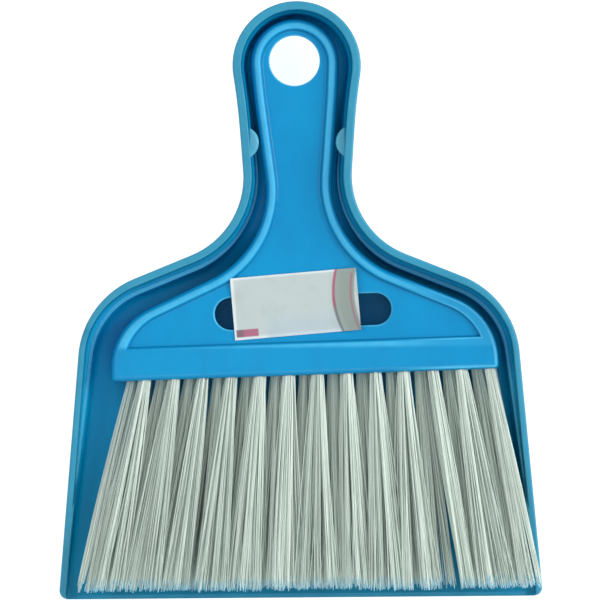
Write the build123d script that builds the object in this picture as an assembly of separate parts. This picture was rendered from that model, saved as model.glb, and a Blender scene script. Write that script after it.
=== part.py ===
from build123d import *

import math
import os
import random

# A hand broom snapped into its own dustpan. Sizes are millimetres, Z is up, and Y runs from the
# pan's front lip towards the hanging holes. Everything is drawn in the broom's own frame, where
# Y = 0 is the face that the bristles leave and X = 0 its middle line, and is moved to the pan's
# middle at the end. The pan's flat underside is Z = 0.

# Levels of the broom, lying in the pan
rest_gap = 0.3
block_thickness = 20.0
handle_thickness = 13.0

# Broom seen from above: half-widths and distances from the tuft face, at the corners that the
# radii below round off
broom_end_radius = 18.3
broom_end_y = 130.6
broom_grip_half_width = 17.5
broom_grip_y = 117.3
broom_neck_half_width = 10.9
broom_neck_y = 53.3
broom_shoulder_half_width = 81.2
broom_shoulder_y = 22.7
broom_grip_radius = 250.0
broom_neck_radius = 40.8
broom_shoulder_radius = 28.0
broom_corner_radius = 1.6

# Bead round the broom, the panel sunk inside it, and the open back
bead_width = 4.4
bead_shoulder_width = 5.8
bead_outer_round = 2.8
bead_inner_round = 1.5
bead_foot_round = 1.1
panel_foot_y = 13.7
panel_depth = 2.2
web_thickness = 3.2
block_depth = 17.7
back_ramp_end_y = 41.2
back_ramp_radius = 14.0
rib_thickness = 1.6
rib_inset = 2.5
rib_start_y = 68.0
rib_pitch = 20.0
rib_count = 3
head_rib_x = 52.0
hang_hole_y = 131.6
hang_hole_radius = 10.5
hole_edge_chamfer = 0.5
slot_length = 74.0
slot_height = 13.4
slot_y = 26.7
slot_collar_wall = 1.8
slot_edge_chamfer = 0.7

# Tufts: three rows, the upper and lower ones set off sideways from the middle one
tufts_per_row = 13
tuft_pitch = 12.0
row_pitch = 5.6
row_offset = 5.2
tuft_hole_radius = 2.6
tuft_hole_depth = 13.0
tuft_fit = 0.12
plug_sides = 8
strand_root_radius = 0.46
strand_tip_radius = 0.42
strand_sides = 3
strand_bury = 1.0
inner_strands = 3
inner_ring_share = 0.34
inner_ring_start = 90
outer_strands = 6
outer_ring_share = 0.84
outer_ring_start = 74
bristle_length = 89.2
bristle_length_spread = 1.3
bristle_skew_share = 0.026

# Where the tips go: the fan's widening and side shift, and each tuft's own spread
fan_share = 1.2265
lower_fan_share = 1.16
fan_shift = 4.2
tip_row_pitch = 7.2
tip_lift = 1.1
tuft_spread_x = 5.8
tuft_spread_z = 2.9
tip_jitter = 0.45
parting_x = 52.8
parting_push = 1.6
parting_reach = 18.0

# Flat wire anchors that hold the folded tufts
anchor_height = 2.4
anchor_thickness = 0.35
anchor_fit = 0.06

# Paper label over the slot
label_width = 52.0
label_height = 26.0
label_thickness = 0.3
label_lift = 0.1
label_x = -3.3
label_y = 29.9
label_turn = 3.0
label_curl_width = 10.0
label_curl_radius = 22.0

# Dustpan: what it leaves free round the broom at the foot of its walls
pan_end_gap = 1.56
pan_end_setback = 1.2
pan_grip_gap = 0.2
pan_grip_setback = 4.3
pan_neck_gap = 2.76
pan_neck_rise = 2.6
pan_shoulder_gap = 3.0
pan_shoulder_rise = 4.85
pan_side_flare = 14.4
pan_lip_reach = 4.6
pan_grip_radius = 250.0
pan_neck_radius = 42.0
pan_shoulder_radius = 31.5
pan_corner_radius = 3.8

# Dustpan walls, seen from the side
pan_floor = 2.0
pan_wall = 2.0
pan_draft = 7.0
pan_height = 28.0
pan_front_height = 5.0
pan_slope_y = 19.2
pan_slope_radius = 90.0
pan_ramp_gap = 4.0
pan_ramp_run = 17.0
pan_ramp_radius = 25.0
pan_foot_radius = 2.0
pan_ledge_width = 1.5
pan_ledge_height = 12.5
pan_lip_bevel = 1.8
pan_lip_drop = 0.8

# Dustpan rim: a flange with a turned-down edge
rim_width_handle = 3.5
rim_width_shoulder = 3.1
rim_width_side = 2.7
rim_thickness = 1.8
rim_edge_thickness = 1.3
rim_edge_drop = 4.6
rim_round = 1.0
mouth_round = 0.6

# Grip nubs on the channel walls, and the pan's hanging hole
nub_y = 97.4
nub_radius = 6.8
nub_gap = 0.6
nub_top_drop = 3.0
nub_round = 1.2
pan_hang_radius = 12.5

# The broom lies a little askew in the pan, turned between the nubs
broom_turn = 1.5

# One overrun for every cut that runs past its solid
overrun = 12.0

# Levels worked out from the sizes above
block_bottom = pan_floor + rest_gap
broom_top = block_bottom + block_thickness
handle_bottom = broom_top - handle_thickness
channel_floor = handle_bottom - rest_gap
channel_lift = channel_floor - pan_floor
panel_top = broom_top - panel_depth
web_bottom = panel_top - web_thickness
block_middle = block_bottom + block_thickness / 2
pan_front_y = -bristle_length - pan_lip_reach
wall_run = pan_height * math.tan(math.radians(pan_draft))
front_wall_run = pan_front_height * math.tan(math.radians(pan_draft))
pan_end_y = broom_end_y - pan_end_setback
pan_end_radius = broom_end_radius + pan_end_gap
pan_back_y = pan_end_y + pan_end_radius + wall_run + rim_width_handle
pan_length = pan_back_y - pan_front_y


# Outlines drawn from corner points

def moved_out(start, end, start_out, end_out):
    """A line's ends moved square to it, outwards on a path that runs down the right-hand side."""
    along = (end - start).normalized()
    out = Vector(-along.Y, along.X)
    return start + out * start_out, end + out * end_out


def crossing(line_a, line_b):
    """The point where two lines meet."""
    a_start, a_end = line_a
    b_start, b_end = line_b
    a_dir = a_end - a_start
    b_dir = b_end - b_start
    cross = a_dir.X * b_dir.Y - a_dir.Y * b_dir.X
    gap = b_start - a_start
    return a_start + a_dir * ((gap.X * b_dir.Y - gap.Y * b_dir.X) / cross)


def tangent_point(corner, centre_y, radius):
    """Where a line from a corner touches the right-hand side of the handle's round end."""
    gap = corner - Vector(0, centre_y)
    angle = math.atan2(gap.Y, gap.X) + math.acos(radius / gap.length)
    return Vector(radius * math.cos(angle), centre_y + radius * math.sin(angle))


def outline(centre_y, end_radius, corners, radii, outs=None):
    """Face of a handle that widens to a head, mirrored about X = 0.

    corners run down the right-hand side from the grip to the front, radii round them, and outs
    moves each side outwards, as a pair for the side's two ends. A side that moves out takes the
    radii with it, so that the walls keep their thickness round the bends.
    """
    points = [tangent_point(corners[0], centre_y, end_radius)] + list(corners)
    rounds = list(radii)
    if outs is not None:
        sides = zip(points, points[1:], outs)
        lines = [moved_out(start, end, out[0], out[1]) for start, end, out in sides]
        points = [lines[0][0]] + [crossing(*pair) for pair in zip(lines, lines[1:])] + [lines[-1][1]]
        end_radius = end_radius + outs[0][0]
        rounds[1] = rounds[1] - outs[1][1]
        rounds[2] = rounds[2] + outs[2][1]
        points[0] = tangent_point(points[1], centre_y, end_radius)
        front = Vector(0, corners[-1].Y)
        points[-1] = crossing(lines[-1], (front, front + Vector(end_radius, 0)))
    left = [Vector(-point.X, point.Y) for point in reversed(points)]
    sides = FilletPolyline(*points, *left, radius=rounds + rounds[::-1])
    cap = ThreePointArc(left[-1], (0, centre_y + end_radius), points[0])
    return make_face(sides.edges() + cap.edges())


def side_band(points, radii, height):
    """Solid across the whole width whose top follows a line seen from the side."""
    line = FilletPolyline(*points, radius=radii)
    first, last = Vector(*points[0]), Vector(*points[-1])
    closing = Polyline(last, (last.X, last.Y + height), (first.X, first.Y + height), first)
    face = make_face(line.edges() + closing.edges())
    half_width = broom_shoulder_half_width + pan_side_flare + pan_shoulder_gap + 2 * overrun
    return extrude(Plane.YZ * face, half_width, both=True)


def level_slab(low, high):
    """Solid across the whole part between two levels."""
    size = 4 * pan_length
    return Pos(0, 0, (low + high) / 2) * Box(size, size, high - low)


# Broom moulding

broom_corners = [
    Vector(broom_grip_half_width, broom_grip_y),
    Vector(broom_neck_half_width, broom_neck_y),
    Vector(broom_shoulder_half_width, broom_shoulder_y),
    Vector(broom_shoulder_half_width, 0),
]
broom_radii = [broom_grip_radius, broom_neck_radius, broom_shoulder_radius, broom_corner_radius]
bead_outs = [(-bead_width,) * 2] * 3 + [(-bead_shoulder_width,) * 2]
back_y = broom_end_y + broom_end_radius


def broom_half_width(y):
    """Half the handle's width between its grip and neck corners."""
    share = (y - broom_neck_y) / (broom_grip_y - broom_neck_y)
    return broom_neck_half_width + share * (broom_grip_half_width - broom_neck_half_width)


def above_line(y, face):
    """The part of a flat face beyond a distance from the tuft face."""
    reach = back_y + overrun - y
    window = Pos(0, y + reach / 2) * Rectangle(4 * broom_shoulder_half_width, reach)
    return face & window


def slot_shape(extra):
    """Round-ended finger slot, or the ring round it."""
    return Pos(0, slot_y) * SlotOverall(slot_length + 2 * extra, slot_height + 2 * extra)


def broom_underside(drop):
    """Everything above the broom's underside: thick at the tuft block, thinner at the handle."""
    points = [
        (-overrun, block_bottom + drop),
        (block_depth, block_bottom + drop),
        (back_ramp_end_y, handle_bottom + drop),
        (back_y + overrun, handle_bottom + drop),
    ]
    return side_band(points, [back_ramp_radius] * 2, block_thickness + overrun)


def back_ribs():
    """Cross ribs in the open back of the handle, and one on each side of the head."""
    height = web_bottom - block_bottom + web_thickness / 2
    middle = block_bottom + height / 2
    rib = Box(2 * broom_grip_half_width, rib_thickness, height)
    cross = [Pos(0, rib_start_y + i * rib_pitch, middle) * rib for i in range(rib_count)]
    reach = 2 * (broom_shoulder_y - block_depth) + overrun
    place = (block_depth + reach / 2, middle)
    head = [Pos(side * head_rib_x, *place) * Box(rib_thickness, reach, height) for side in (-1, 1)]
    return cross + head


def broom_moulding():
    """Handle, head and tuft block in one moulding, with its bead, slot and drilled tuft holes."""
    plan = outline(broom_end_y, broom_end_radius, broom_corners, broom_radii)
    inside = outline(broom_end_y, broom_end_radius, broom_corners, broom_radii, bead_outs)
    body = extrude(Pos(0, 0, block_bottom) * plan, block_thickness)
    body = fillet(body.faces().sort_by(Axis.Z)[-1].edges(), bead_outer_round)
    body = body & broom_underside(0)

    panel = extrude(Pos(0, 0, panel_top) * above_line(panel_foot_y, inside), panel_depth + overrun)
    panel = fillet(panel.faces().sort_by(Axis.Z)[0].edges(), bead_foot_round)
    back = extrude(Pos(0, 0, web_bottom) * above_line(block_depth, inside), -block_thickness)
    collar = extrude(Pos(0, 0, web_bottom + web_thickness / 2) * slot_shape(slot_collar_wall), -block_thickness)
    stiffeners = back & (Part() + back_ribs()) & broom_underside(rib_inset)
    body = body - panel - back + (collar & broom_underside(0)) + stiffeners

    slot = extrude(Pos(0, 0, -overrun) * slot_shape(0), broom_top + 2 * overrun)
    hole = Pos(0, hang_hole_y, broom_top) * Cylinder(hang_hole_radius, 4 * block_thickness)
    body = body - slot - hole
    body = soften_openings(body)
    return body - [tuft_bore(place) for place in tuft_places()]


def panel_openings(body):
    """The outlines of the slot and the hanging hole in the panel's face, slot first."""
    flat = [face for face in body.faces() if abs(face.center().Z - panel_top) < web_thickness / 2]
    panel_face = ShapeList(flat).filter_by(Axis.Z).sort_by(SortBy.AREA)[-1]
    return sorted(panel_face.inner_wires(), key=lambda wire: wire.center().Y)


def soften_openings(body):
    """Chamfer the slot's and the hole's upper edges, and round the bead's inner edge."""
    body = chamfer(panel_openings(body)[0].edges(), slot_edge_chamfer)
    body = chamfer(panel_openings(body)[-1].edges(), hole_edge_chamfer)
    top_face = body.faces().filter_by(Axis.Z).sort_by(Axis.Z)[-1]
    return fillet(top_face.inner_wires()[0].edges(), bead_inner_round)


# Tufts, their holes and their anchors

def tuft_places():
    """Root and tip centres of every tuft, row by row from the top, left to right."""
    places = []
    rows = (("upper", 1, row_offset), ("middle", 0, 0.0), ("lower", -1, row_offset))
    for row, level, offset in rows:
        share = lower_fan_share if row == "lower" else fan_share
        for column in range(tufts_per_row):
            x = (column - (tufts_per_row - 1) / 2) * tuft_pitch + offset
            from_parting = x - parting_x
            push = math.copysign(parting_push, from_parting) * math.exp(-abs(from_parting) / parting_reach)
            tip_x = x * share - fan_shift + push
            root = Vector(x, 0, block_middle + level * row_pitch)
            tip = Vector(
                tip_x,
                -bristle_length - bristle_skew_share * tip_x,
                block_middle + tip_lift + level * tip_row_pitch,
            )
            places.append((f"tuft_{row}_{column + 1:02d}", root, tip))
    return places


def tuft_plane(place):
    """Plane across a tuft at the tuft face, looking out along the bristles."""
    name, root, tip = place
    return Plane(origin=root, x_dir=(1, 0, 0), z_dir=tip - root)


def tuft_bore(place):
    """Round hole, drilled along the tuft, that holds its folded root."""
    depth = tuft_hole_depth + overrun / 2
    return tuft_plane(place) * Pos(0, 0, overrun / 2 - depth / 2) * Cylinder(tuft_hole_radius, depth)


def strand_shares():
    """Where a tuft's strands stand in its round, as shares of its radius."""
    shares = []
    for count, ring_share, start in (
        (inner_strands, inner_ring_share, inner_ring_start),
        (outer_strands, outer_ring_share, outer_ring_start),
    ):
        angles = [math.radians(start + 360 * i / count) for i in range(count)]
        shares += [(ring_share * math.cos(angle), ring_share * math.sin(angle)) for angle in angles]
    return shares


def strand(start, end):
    """One tapering bristle from inside the plug to its tip."""
    turn = Rot(0, 0, 90)
    foot = Plane(origin=start, x_dir=(1, 0, 0), z_dir=(0, -1, 0)) * turn
    tip = Plane(origin=end, x_dir=(1, 0, 0), z_dir=(0, -1, 0)) * turn
    return loft([
        foot * RegularPolygon(strand_root_radius, strand_sides),
        tip * RegularPolygon(strand_tip_radius, strand_sides),
    ], ruled=True)


def tuft(place, chance):
    """A bundle of bristles on the folded root that sits in the hole."""
    name, root, tip = place
    plane = tuft_plane(place)
    plug_radius = tuft_hole_radius - tuft_fit
    plug_length = tuft_hole_depth - tuft_fit
    plug = plane * extrude(RegularPolygon(plug_radius, plug_sides), -plug_length)
    notch_height = anchor_height + anchor_fit
    notch = Box(4 * plug_radius, anchor_thickness + 2 * anchor_fit, 2 * notch_height)
    plug = plug - plane * Pos(0, 0, -plug_length) * notch
    strands = []
    for share_x, share_z in strand_shares():
        start = root + Vector(share_x * plug_radius, strand_bury, share_z * plug_radius)
        end = tip + Vector(
            share_x * tuft_spread_x + chance.uniform(-tip_jitter, tip_jitter),
            chance.uniform(-bristle_length_spread, bristle_length_spread),
            share_z * tuft_spread_z + chance.uniform(-tip_jitter, tip_jitter),
        )
        strands.append(strand(start, end))
    return plug.fuse(*strands)


def anchor(place):
    """Flat wire staple at the bottom of a tuft's hole."""
    width = 2 * (tuft_hole_radius - 2 * anchor_fit)
    depth = tuft_hole_depth - anchor_fit - anchor_height / 2
    return tuft_plane(place) * Pos(0, 0, -depth) * Box(width, anchor_thickness, anchor_height)


# Paper label

def label():
    """Paper stuck over the slot, flat on the panel with its right-hand end curling up."""
    left = -label_width / 2
    bend = label_width / 2 - label_curl_width
    curl = math.degrees(label_curl_width / label_curl_radius)
    centre = (bend, label_curl_radius)
    under_curl = CenterArc(centre, label_curl_radius, -90, curl)
    over_curl = CenterArc(centre, label_curl_radius - label_thickness, -90, curl)
    over = Line((left, label_thickness), (bend, label_thickness))
    edges = [
        Line((left, 0), (bend, 0)),
        under_curl,
        Line(under_curl @ 1, over_curl @ 1),
        over_curl,
        over,
        Line((left, 0), (left, label_thickness)),
    ]
    profile = make_face([edge for piece in edges for edge in piece.edges()])
    sheet = extrude(Plane.XZ * profile, label_height / 2, both=True)
    return Pos(label_x, label_y, panel_top + label_lift) * Rot(0, 0, label_turn) * sheet


# Dustpan

pan_corners = [
    Vector(broom_grip_half_width + pan_grip_gap, broom_grip_y - pan_grip_setback),
    Vector(broom_neck_half_width + pan_neck_gap, broom_neck_y + pan_neck_rise),
    Vector(broom_shoulder_half_width + pan_shoulder_gap, broom_shoulder_y + pan_shoulder_rise),
]
pan_corners.append(Vector(pan_corners[-1].X + pan_side_flare, pan_front_y))
pan_radii = [pan_grip_radius, pan_neck_radius, pan_shoulder_radius]


def pan_outline(outs, front_radius, front_overrun):
    """The pan's outline, moved out from the foot of its walls."""
    front = pan_corners[-1]
    along = (front - pan_corners[-2]).normalized()
    corners = pan_corners[:-1] + [front + along * front_overrun]
    return outline(pan_end_y, pan_end_radius, corners, pan_radii + [front_radius], outs)


def pan_height_band(drop):
    """Everything above the pan's rim line, or above a line that runs below it."""
    slope = (pan_height - pan_front_height) / (pan_slope_y - pan_front_y)
    points = [
        (pan_front_y - 2 * overrun, pan_front_height - 2 * overrun * slope - drop),
        (pan_slope_y, pan_height - drop),
        (back_y + 3 * overrun, pan_height - drop),
    ]
    return side_band(points, [pan_slope_radius], 2 * pan_height)


def pan_floor_band(rise):
    """Everything above the pan's underside, or above its floor."""
    ramp_start = back_ramp_end_y + pan_ramp_gap
    points = [
        (pan_front_y - 3 * overrun, rise),
        (ramp_start, rise),
        (ramp_start + pan_ramp_run, rise + channel_lift),
        (back_y + 3 * overrun, rise + channel_lift),
    ]
    return side_band(points, [pan_ramp_radius] * 2, pan_height + 2 * overrun)


def drafted(face, height):
    """A face raised from Z = 0 with its sides leaning out by the pan's draft."""
    return extrude(face, height, taper=-pan_draft)


def pan_bowl(out):
    """The tray and handle channel as one block, as wide as the cavity or moved out to the walls."""
    return drafted(pan_outline([(out, out)] * 4, 0, overrun), pan_height + overrun)


def round_foot(solid, radius):
    """Round a block's lower edges, but not the lines that cross it at the ramp and the front."""
    under = [face for face in solid.faces() if face.normal_at().Z < -math.cos(math.radians(45))]
    edges = {edge for face in under for edge in face.edges()}
    crosswise = set(solid.edges().filter_by(Axis.X))
    return fillet([edge for edge in edges if edge not in crosswise], radius)


def pan_cavity():
    """The hollow of the pan: drafted walls with a ledge low on the shoulders, and a rounded foot."""
    step = pan_ledge_width
    low_outs = [(0, 0), (0, -step), (-step, -step), (-step, 0)]
    low = drafted(pan_outline(low_outs, 0, overrun), pan_ledge_height) & pan_floor_band(pan_floor)
    high = pan_bowl(0) & level_slab(pan_ledge_height, 2 * pan_height)
    return round_foot(low, pan_foot_radius) + high


def mouth_edges(body):
    """The inner edges of the rim's top, where the cavity opens."""
    near_rim = pan_height_band(mouth_round)
    faces = [(face, face.normal_at().Z) for face in body.faces()]
    level, steep = math.cos(math.radians(30)), math.sin(math.radians(2 * pan_draft))
    top = {edge for face, up in faces if up > level for edge in face.edges()}
    inside = {edge for face, up in faces if abs(up) < steep for edge in face.edges()}
    crosswise = set(body.edges().filter_by(Axis.X))
    return [edge for edge in (top & inside) - crosswise if near_rim.is_inside(edge @ (1 / 2))]


def dustpan():
    """Tray, rim and channel handle in one moulding."""
    rim_outs = [
        (wall_run + rim_width_handle,) * 2,
        (wall_run + rim_width_handle,) * 2,
        (wall_run + rim_width_shoulder,) * 2,
        (wall_run + rim_width_side, front_wall_run + rim_width_side),
    ]
    edge_outs = [(start - rim_edge_thickness, end - rim_edge_thickness) for start, end in rim_outs]
    tall = pan_height + overrun
    rim = extrude(pan_outline(rim_outs, pan_corner_radius, 0), tall) - pan_height_band(0)
    over = [face for face in rim.faces() if face.normal_at().Z > math.cos(math.radians(45))]
    edges = {edge for face in over for edge in face.edges()} - set(rim.edges().filter_by(Axis.X))
    rim = fillet(list(edges), rim_round)
    walls = round_foot(pan_bowl(pan_wall) & pan_floor_band(0), pan_foot_radius + pan_wall) & rim
    flange = rim & pan_height_band(rim_thickness)
    edge = (rim - extrude(pan_outline(edge_outs, 0, overrun), tall)) & pan_height_band(rim_edge_drop)
    whole = walls + flange + (edge & level_slab(0, tall))
    body = whole - pan_cavity()
    body = fillet(mouth_edges(body), mouth_round)
    nub_x = broom_half_width(nub_y) + nub_gap + nub_radius
    nub = Pos(nub_x, nub_y, 0) * extrude(Circle(nub_radius), pan_height - nub_top_drop)
    nub = fillet(nub.edges().sort_by(Axis.Z)[-1], nub_round) & walls
    hole = Pos(0, hang_hole_y, 0) * Cylinder(pan_hang_radius, 4 * pan_height)
    return body + nub + mirror(nub, Plane.YZ) - hole - lip_bevel()


def lip_bevel():
    """Wedge that thins the floor's front lip between the side walls."""
    line = Polyline(
        (pan_front_y - pan_lip_bevel, pan_floor - 2 * pan_lip_drop),
        (pan_front_y + pan_lip_bevel, pan_floor),
        (pan_front_y - pan_lip_bevel, pan_floor),
        close=True,
    )
    half_width = pan_corners[-1].X - pan_foot_radius - pan_lip_bevel
    return extrude(Plane.YZ * make_face(line.edges()), half_width, both=True)


# The parts in their places

def save(shape, name):
    """Write one sub-part, moved so that the pan's middle is over the origin."""
    export_step(Pos(0, -(pan_front_y + pan_back_y) / 2, 0) * shape, f"parts/{name}.step")


def save_on_broom(shape, name):
    """Write a sub-part of the broom, turned askew between the pan's nubs."""
    save(Pos(0, nub_y, 0) * Rot(0, 0, broom_turn) * Pos(0, -nub_y, 0) * shape, name)


os.makedirs("parts", exist_ok=True)
chance = random.Random(7)
save(dustpan(), "dustpan")
save_on_broom(broom_moulding(), "broom_handle")
for place in tuft_places():
    save_on_broom(tuft(place, chance), place[0])
save_on_broom(Compound([anchor(place).solid() for place in tuft_places()]), "anchors")
save_on_broom(label(), "label")
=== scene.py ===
"""Looks for a hand broom that lies in its own dustpan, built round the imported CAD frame."""

import logging
import math
import random
from dataclasses import dataclass, field
from enum import Enum

import bpy
import numpy as np
from mathutils import Matrix, Vector


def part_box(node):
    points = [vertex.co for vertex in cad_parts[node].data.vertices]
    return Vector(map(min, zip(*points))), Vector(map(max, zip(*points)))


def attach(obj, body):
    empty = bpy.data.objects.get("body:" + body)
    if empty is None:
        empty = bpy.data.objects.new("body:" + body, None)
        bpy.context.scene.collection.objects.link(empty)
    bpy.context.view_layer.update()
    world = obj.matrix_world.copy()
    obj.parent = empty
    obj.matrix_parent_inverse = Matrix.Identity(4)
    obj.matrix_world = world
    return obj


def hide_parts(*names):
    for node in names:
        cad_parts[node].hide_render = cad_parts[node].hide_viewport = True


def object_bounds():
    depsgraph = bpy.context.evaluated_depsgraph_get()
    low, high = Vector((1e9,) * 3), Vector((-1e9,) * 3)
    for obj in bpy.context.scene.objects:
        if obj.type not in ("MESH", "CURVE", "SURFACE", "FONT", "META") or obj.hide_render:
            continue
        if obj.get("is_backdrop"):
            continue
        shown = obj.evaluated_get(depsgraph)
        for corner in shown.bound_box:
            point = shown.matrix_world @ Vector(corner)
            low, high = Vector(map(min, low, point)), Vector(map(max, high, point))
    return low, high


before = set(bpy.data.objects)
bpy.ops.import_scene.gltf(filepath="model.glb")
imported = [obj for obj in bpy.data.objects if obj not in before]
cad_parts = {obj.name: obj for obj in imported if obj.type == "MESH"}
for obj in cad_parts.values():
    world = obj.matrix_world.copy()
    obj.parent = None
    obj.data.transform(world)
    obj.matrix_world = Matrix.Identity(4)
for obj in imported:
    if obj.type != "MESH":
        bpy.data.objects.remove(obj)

MM = 0.001
BROOM_BODY = "broom"
log = logging.getLogger("broom")

Triple = tuple[float, float, float]
Colour = Triple
Span = tuple[float, float]
Band = tuple[Span, Span]


def srgb(red: int, green: int, blue: int) -> Colour:
    """Turn a colour of 0 to 255 steps, as a screen shows it, into a shader's linear colour.

    Args:
        red: The red step.
        green: The green step.
        blue: The blue step.

    Returns:
        The linear colour, each part from 0 to 1.
    """
    parts = (step / 255 for step in (red, green, blue))
    return tuple(
        part / 12.92 if part <= 0.04045 else ((part + 0.055) / 1.055) ** 2.4 for part in parts
    )


class Signal:
    """A shader number on which Python's arithmetic adds Math nodes."""

    def __init__(self, bench: "Bench", socket: bpy.types.NodeSocket) -> None:
        """Wrap an output socket of a node tree that is being made."""
        self.bench = bench
        self.socket = socket

    def math(self, operation: str, *others: "Signal | float") -> "Signal":
        """Add one Math node that starts from this signal.

        Args:
            operation: The node's operation.
            others: Its further values or signals.

        Returns:
            The node's result.
        """
        values = dict(enumerate((self, *others)))
        return self.bench.add("ShaderNodeMath", {"operation": operation}, values)

    def between(self, low: float, high: float) -> "Signal":
        """Rise smoothly from 0 where this signal is low to 1 where it is high.

        Args:
            low: Where the rise starts.
            high: Where it ends. Below the start, it makes a fall of the rise.

        Returns:
            The smooth step.
        """
        settings = {"interpolation_type": "SMOOTHSTEP"}
        sockets = {"Value": self, "From Min": low, "From Max": high}
        return self.bench.add("ShaderNodeMapRange", settings, sockets)

    def within(self, rise: Span, fall: Span) -> "Signal":
        """Stay at 1 from the end of a rise to the start of a fall, and at 0 beyond them.

        Args:
            rise: Where the rise starts and ends.
            fall: Where the fall starts and ends.

        Returns:
            The smooth band.
        """
        return self.between(*rise) * self.between(fall[1], fall[0])

    def __add__(self, other: "Signal | float") -> "Signal":
        """Add."""
        return self.math("ADD", other)

    def __radd__(self, other: float) -> "Signal":
        """Add, from the right."""
        return self.math("ADD", other)

    def __sub__(self, other: "Signal | float") -> "Signal":
        """Subtract."""
        return self.math("SUBTRACT", other)

    def __rsub__(self, other: float) -> "Signal":
        """Subtract from a number."""
        return (self * -1).math("ADD", other)

    def __mul__(self, other: "Signal | float") -> "Signal":
        """Multiply."""
        return self.math("MULTIPLY", other)

    def __rmul__(self, other: float) -> "Signal":
        """Multiply, from the right."""
        return self.math("MULTIPLY", other)

    def __or__(self, other: "Signal") -> "Signal":
        """Join two masks, so that the stronger one shows."""
        return self.math("MAXIMUM", other)

    def __abs__(self) -> "Signal":
        """Drop the sign."""
        return self.math("ABSOLUTE")


class Bench:
    """A node tree that is being made, with the one method that adds its nodes."""

    def __init__(self, tree: bpy.types.NodeTree) -> None:
        """Empty a node tree."""
        self.tree = tree
        self.tree.nodes.clear()

    def node(self, kind: str, settings: dict | None = None,
             sockets: dict | None = None) -> bpy.types.Node:
        """Add a node.

        Args:
            kind: The node's type.
            settings: Its own settings, with a ramp's stops as a list under "stops".
            sockets: Values or signals for its input sockets, by name or number.

        Returns:
            The new node.
        """
        made = self.tree.nodes.new(kind)
        for name, value in (settings or {}).items():
            if name == "stops":
                while len(made.color_ramp.elements) < len(value):
                    made.color_ramp.elements.new(1)
                for element, (place, colour) in zip(made.color_ramp.elements, value):
                    element.position = place
                    element.color = (*colour, 1)
            else:
                setattr(made, name, value)
        for name, value in (sockets or {}).items():
            socket = made.inputs[name]
            if isinstance(value, Signal):
                self.tree.links.new(value.socket, socket)
            elif isinstance(value, tuple) and len(socket.default_value) > len(value):
                socket.default_value = (*value, 1)
            else:
                socket.default_value = value
        return made

    def add(self, kind: str, settings: dict | None = None, sockets: dict | None = None,
            output: str | int = 0) -> Signal:
        """Add a node and take one of its outputs.

        Args:
            kind: The node's type.
            settings: Its own settings.
            sockets: Values or signals for its input sockets.
            output: The output's name or number.

        Returns:
            That output as a signal.
        """
        return Signal(self, self.node(kind, settings, sockets).outputs[output])

    def split(self, vector: Signal) -> list[Signal]:
        """Split a vector into its X, Y and Z."""
        parts = self.node("ShaderNodeSeparateXYZ", {}, {"Vector": vector})
        return [Signal(self, socket) for socket in parts.outputs]


@dataclass(frozen=True)
class Noise:
    """Soft, spotted noise that a finish lays over its surface.

    Attributes:
        size: The spots' size, in metres.
        detail: How many finer layers it has.
        stretch: How much closer the spots lie along each axis.
        span: The part of its range that is spread smoothly over 0 to 1, or None for it as it is.
        paint: How strongly it colours the surface.
        rough: How much it adds to the roughness.
        relief: How much it adds to the relief.
    """

    size: float
    detail: float = 2.0
    stretch: Triple = (1, 1, 1)
    span: Span | None = None
    paint: float = 0.0
    rough: float = 0.0
    relief: float = 0.0


class MaterialBench(Bench):
    """A material that is being made, with what all the finishes read and add.

    Attributes:
        coordinates: The Object coordinates.
        x: Their X.
        y: Their Y.
        z: Their Z.
        up: How far the surface faces up, from -1 to 1.
    """

    BUMP_STRENGTH = 0.3

    def __init__(self, name: str) -> None:
        """Start an empty material."""
        self.material = bpy.data.materials.new(name)
        self.material.use_nodes = True
        super().__init__(self.material.node_tree)
        self.coordinates = self.add("ShaderNodeTexCoord", output="Object")
        self.x, self.y, self.z = self.split(self.coordinates)
        self.up = self.split(self.add("ShaderNodeNewGeometry", output="Normal"))[2]

    def noise(self, noise: Noise) -> Signal:
        """Add noise.

        Args:
            noise: The noise's form.

        Returns:
            The noise, from 0 to 1.
        """
        sockets = {"Vector": self.coordinates, "Scale": noise.stretch}
        scaled = self.add("ShaderNodeMapping", {}, sockets)
        sockets = {"Vector": scaled, "Scale": 1 / noise.size, "Detail": noise.detail}
        spots = self.add("ShaderNodeTexNoise", {}, sockets)
        return spots.between(*noise.span) if noise.span else spots

    def mix(self, factor: Signal, first: Signal | Colour, second: Signal | Colour) -> Signal:
        """Mix two colours.

        Args:
            factor: The share of the second colour.
            first: The first colour.
            second: The second colour.

        Returns:
            The mixed colour.
        """
        settings = {"data_type": "RGBA", "clamp_factor": True}
        sockets = {"Factor": factor, 6: first, 7: second}
        return self.add("ShaderNodeMix", settings, sockets, output=2)

    def bump(self, height: Signal, distance: float) -> Signal:
        """Bend the normal by fine relief, whose height of 1 stands for a distance in metres."""
        sockets = {"Strength": self.BUMP_STRENGTH, "Distance": distance, "Height": height}
        return self.add("ShaderNodeBump", {}, sockets, output="Normal")

    def finish(self, sockets: dict) -> bpy.types.Material:
        """Add the shader and the output.

        Args:
            sockets: Values or signals for the shader's input sockets.

        Returns:
            The material.
        """
        shader = self.add("ShaderNodeBsdfPrincipled", {}, sockets)
        self.node("ShaderNodeOutputMaterial", {}, {"Surface": shader})
        return self.material


class Finish:
    """A surface finish, which makes its own material."""

    def material(self) -> bpy.types.Material:
        """Make the material."""
        raise NotImplementedError


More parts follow.
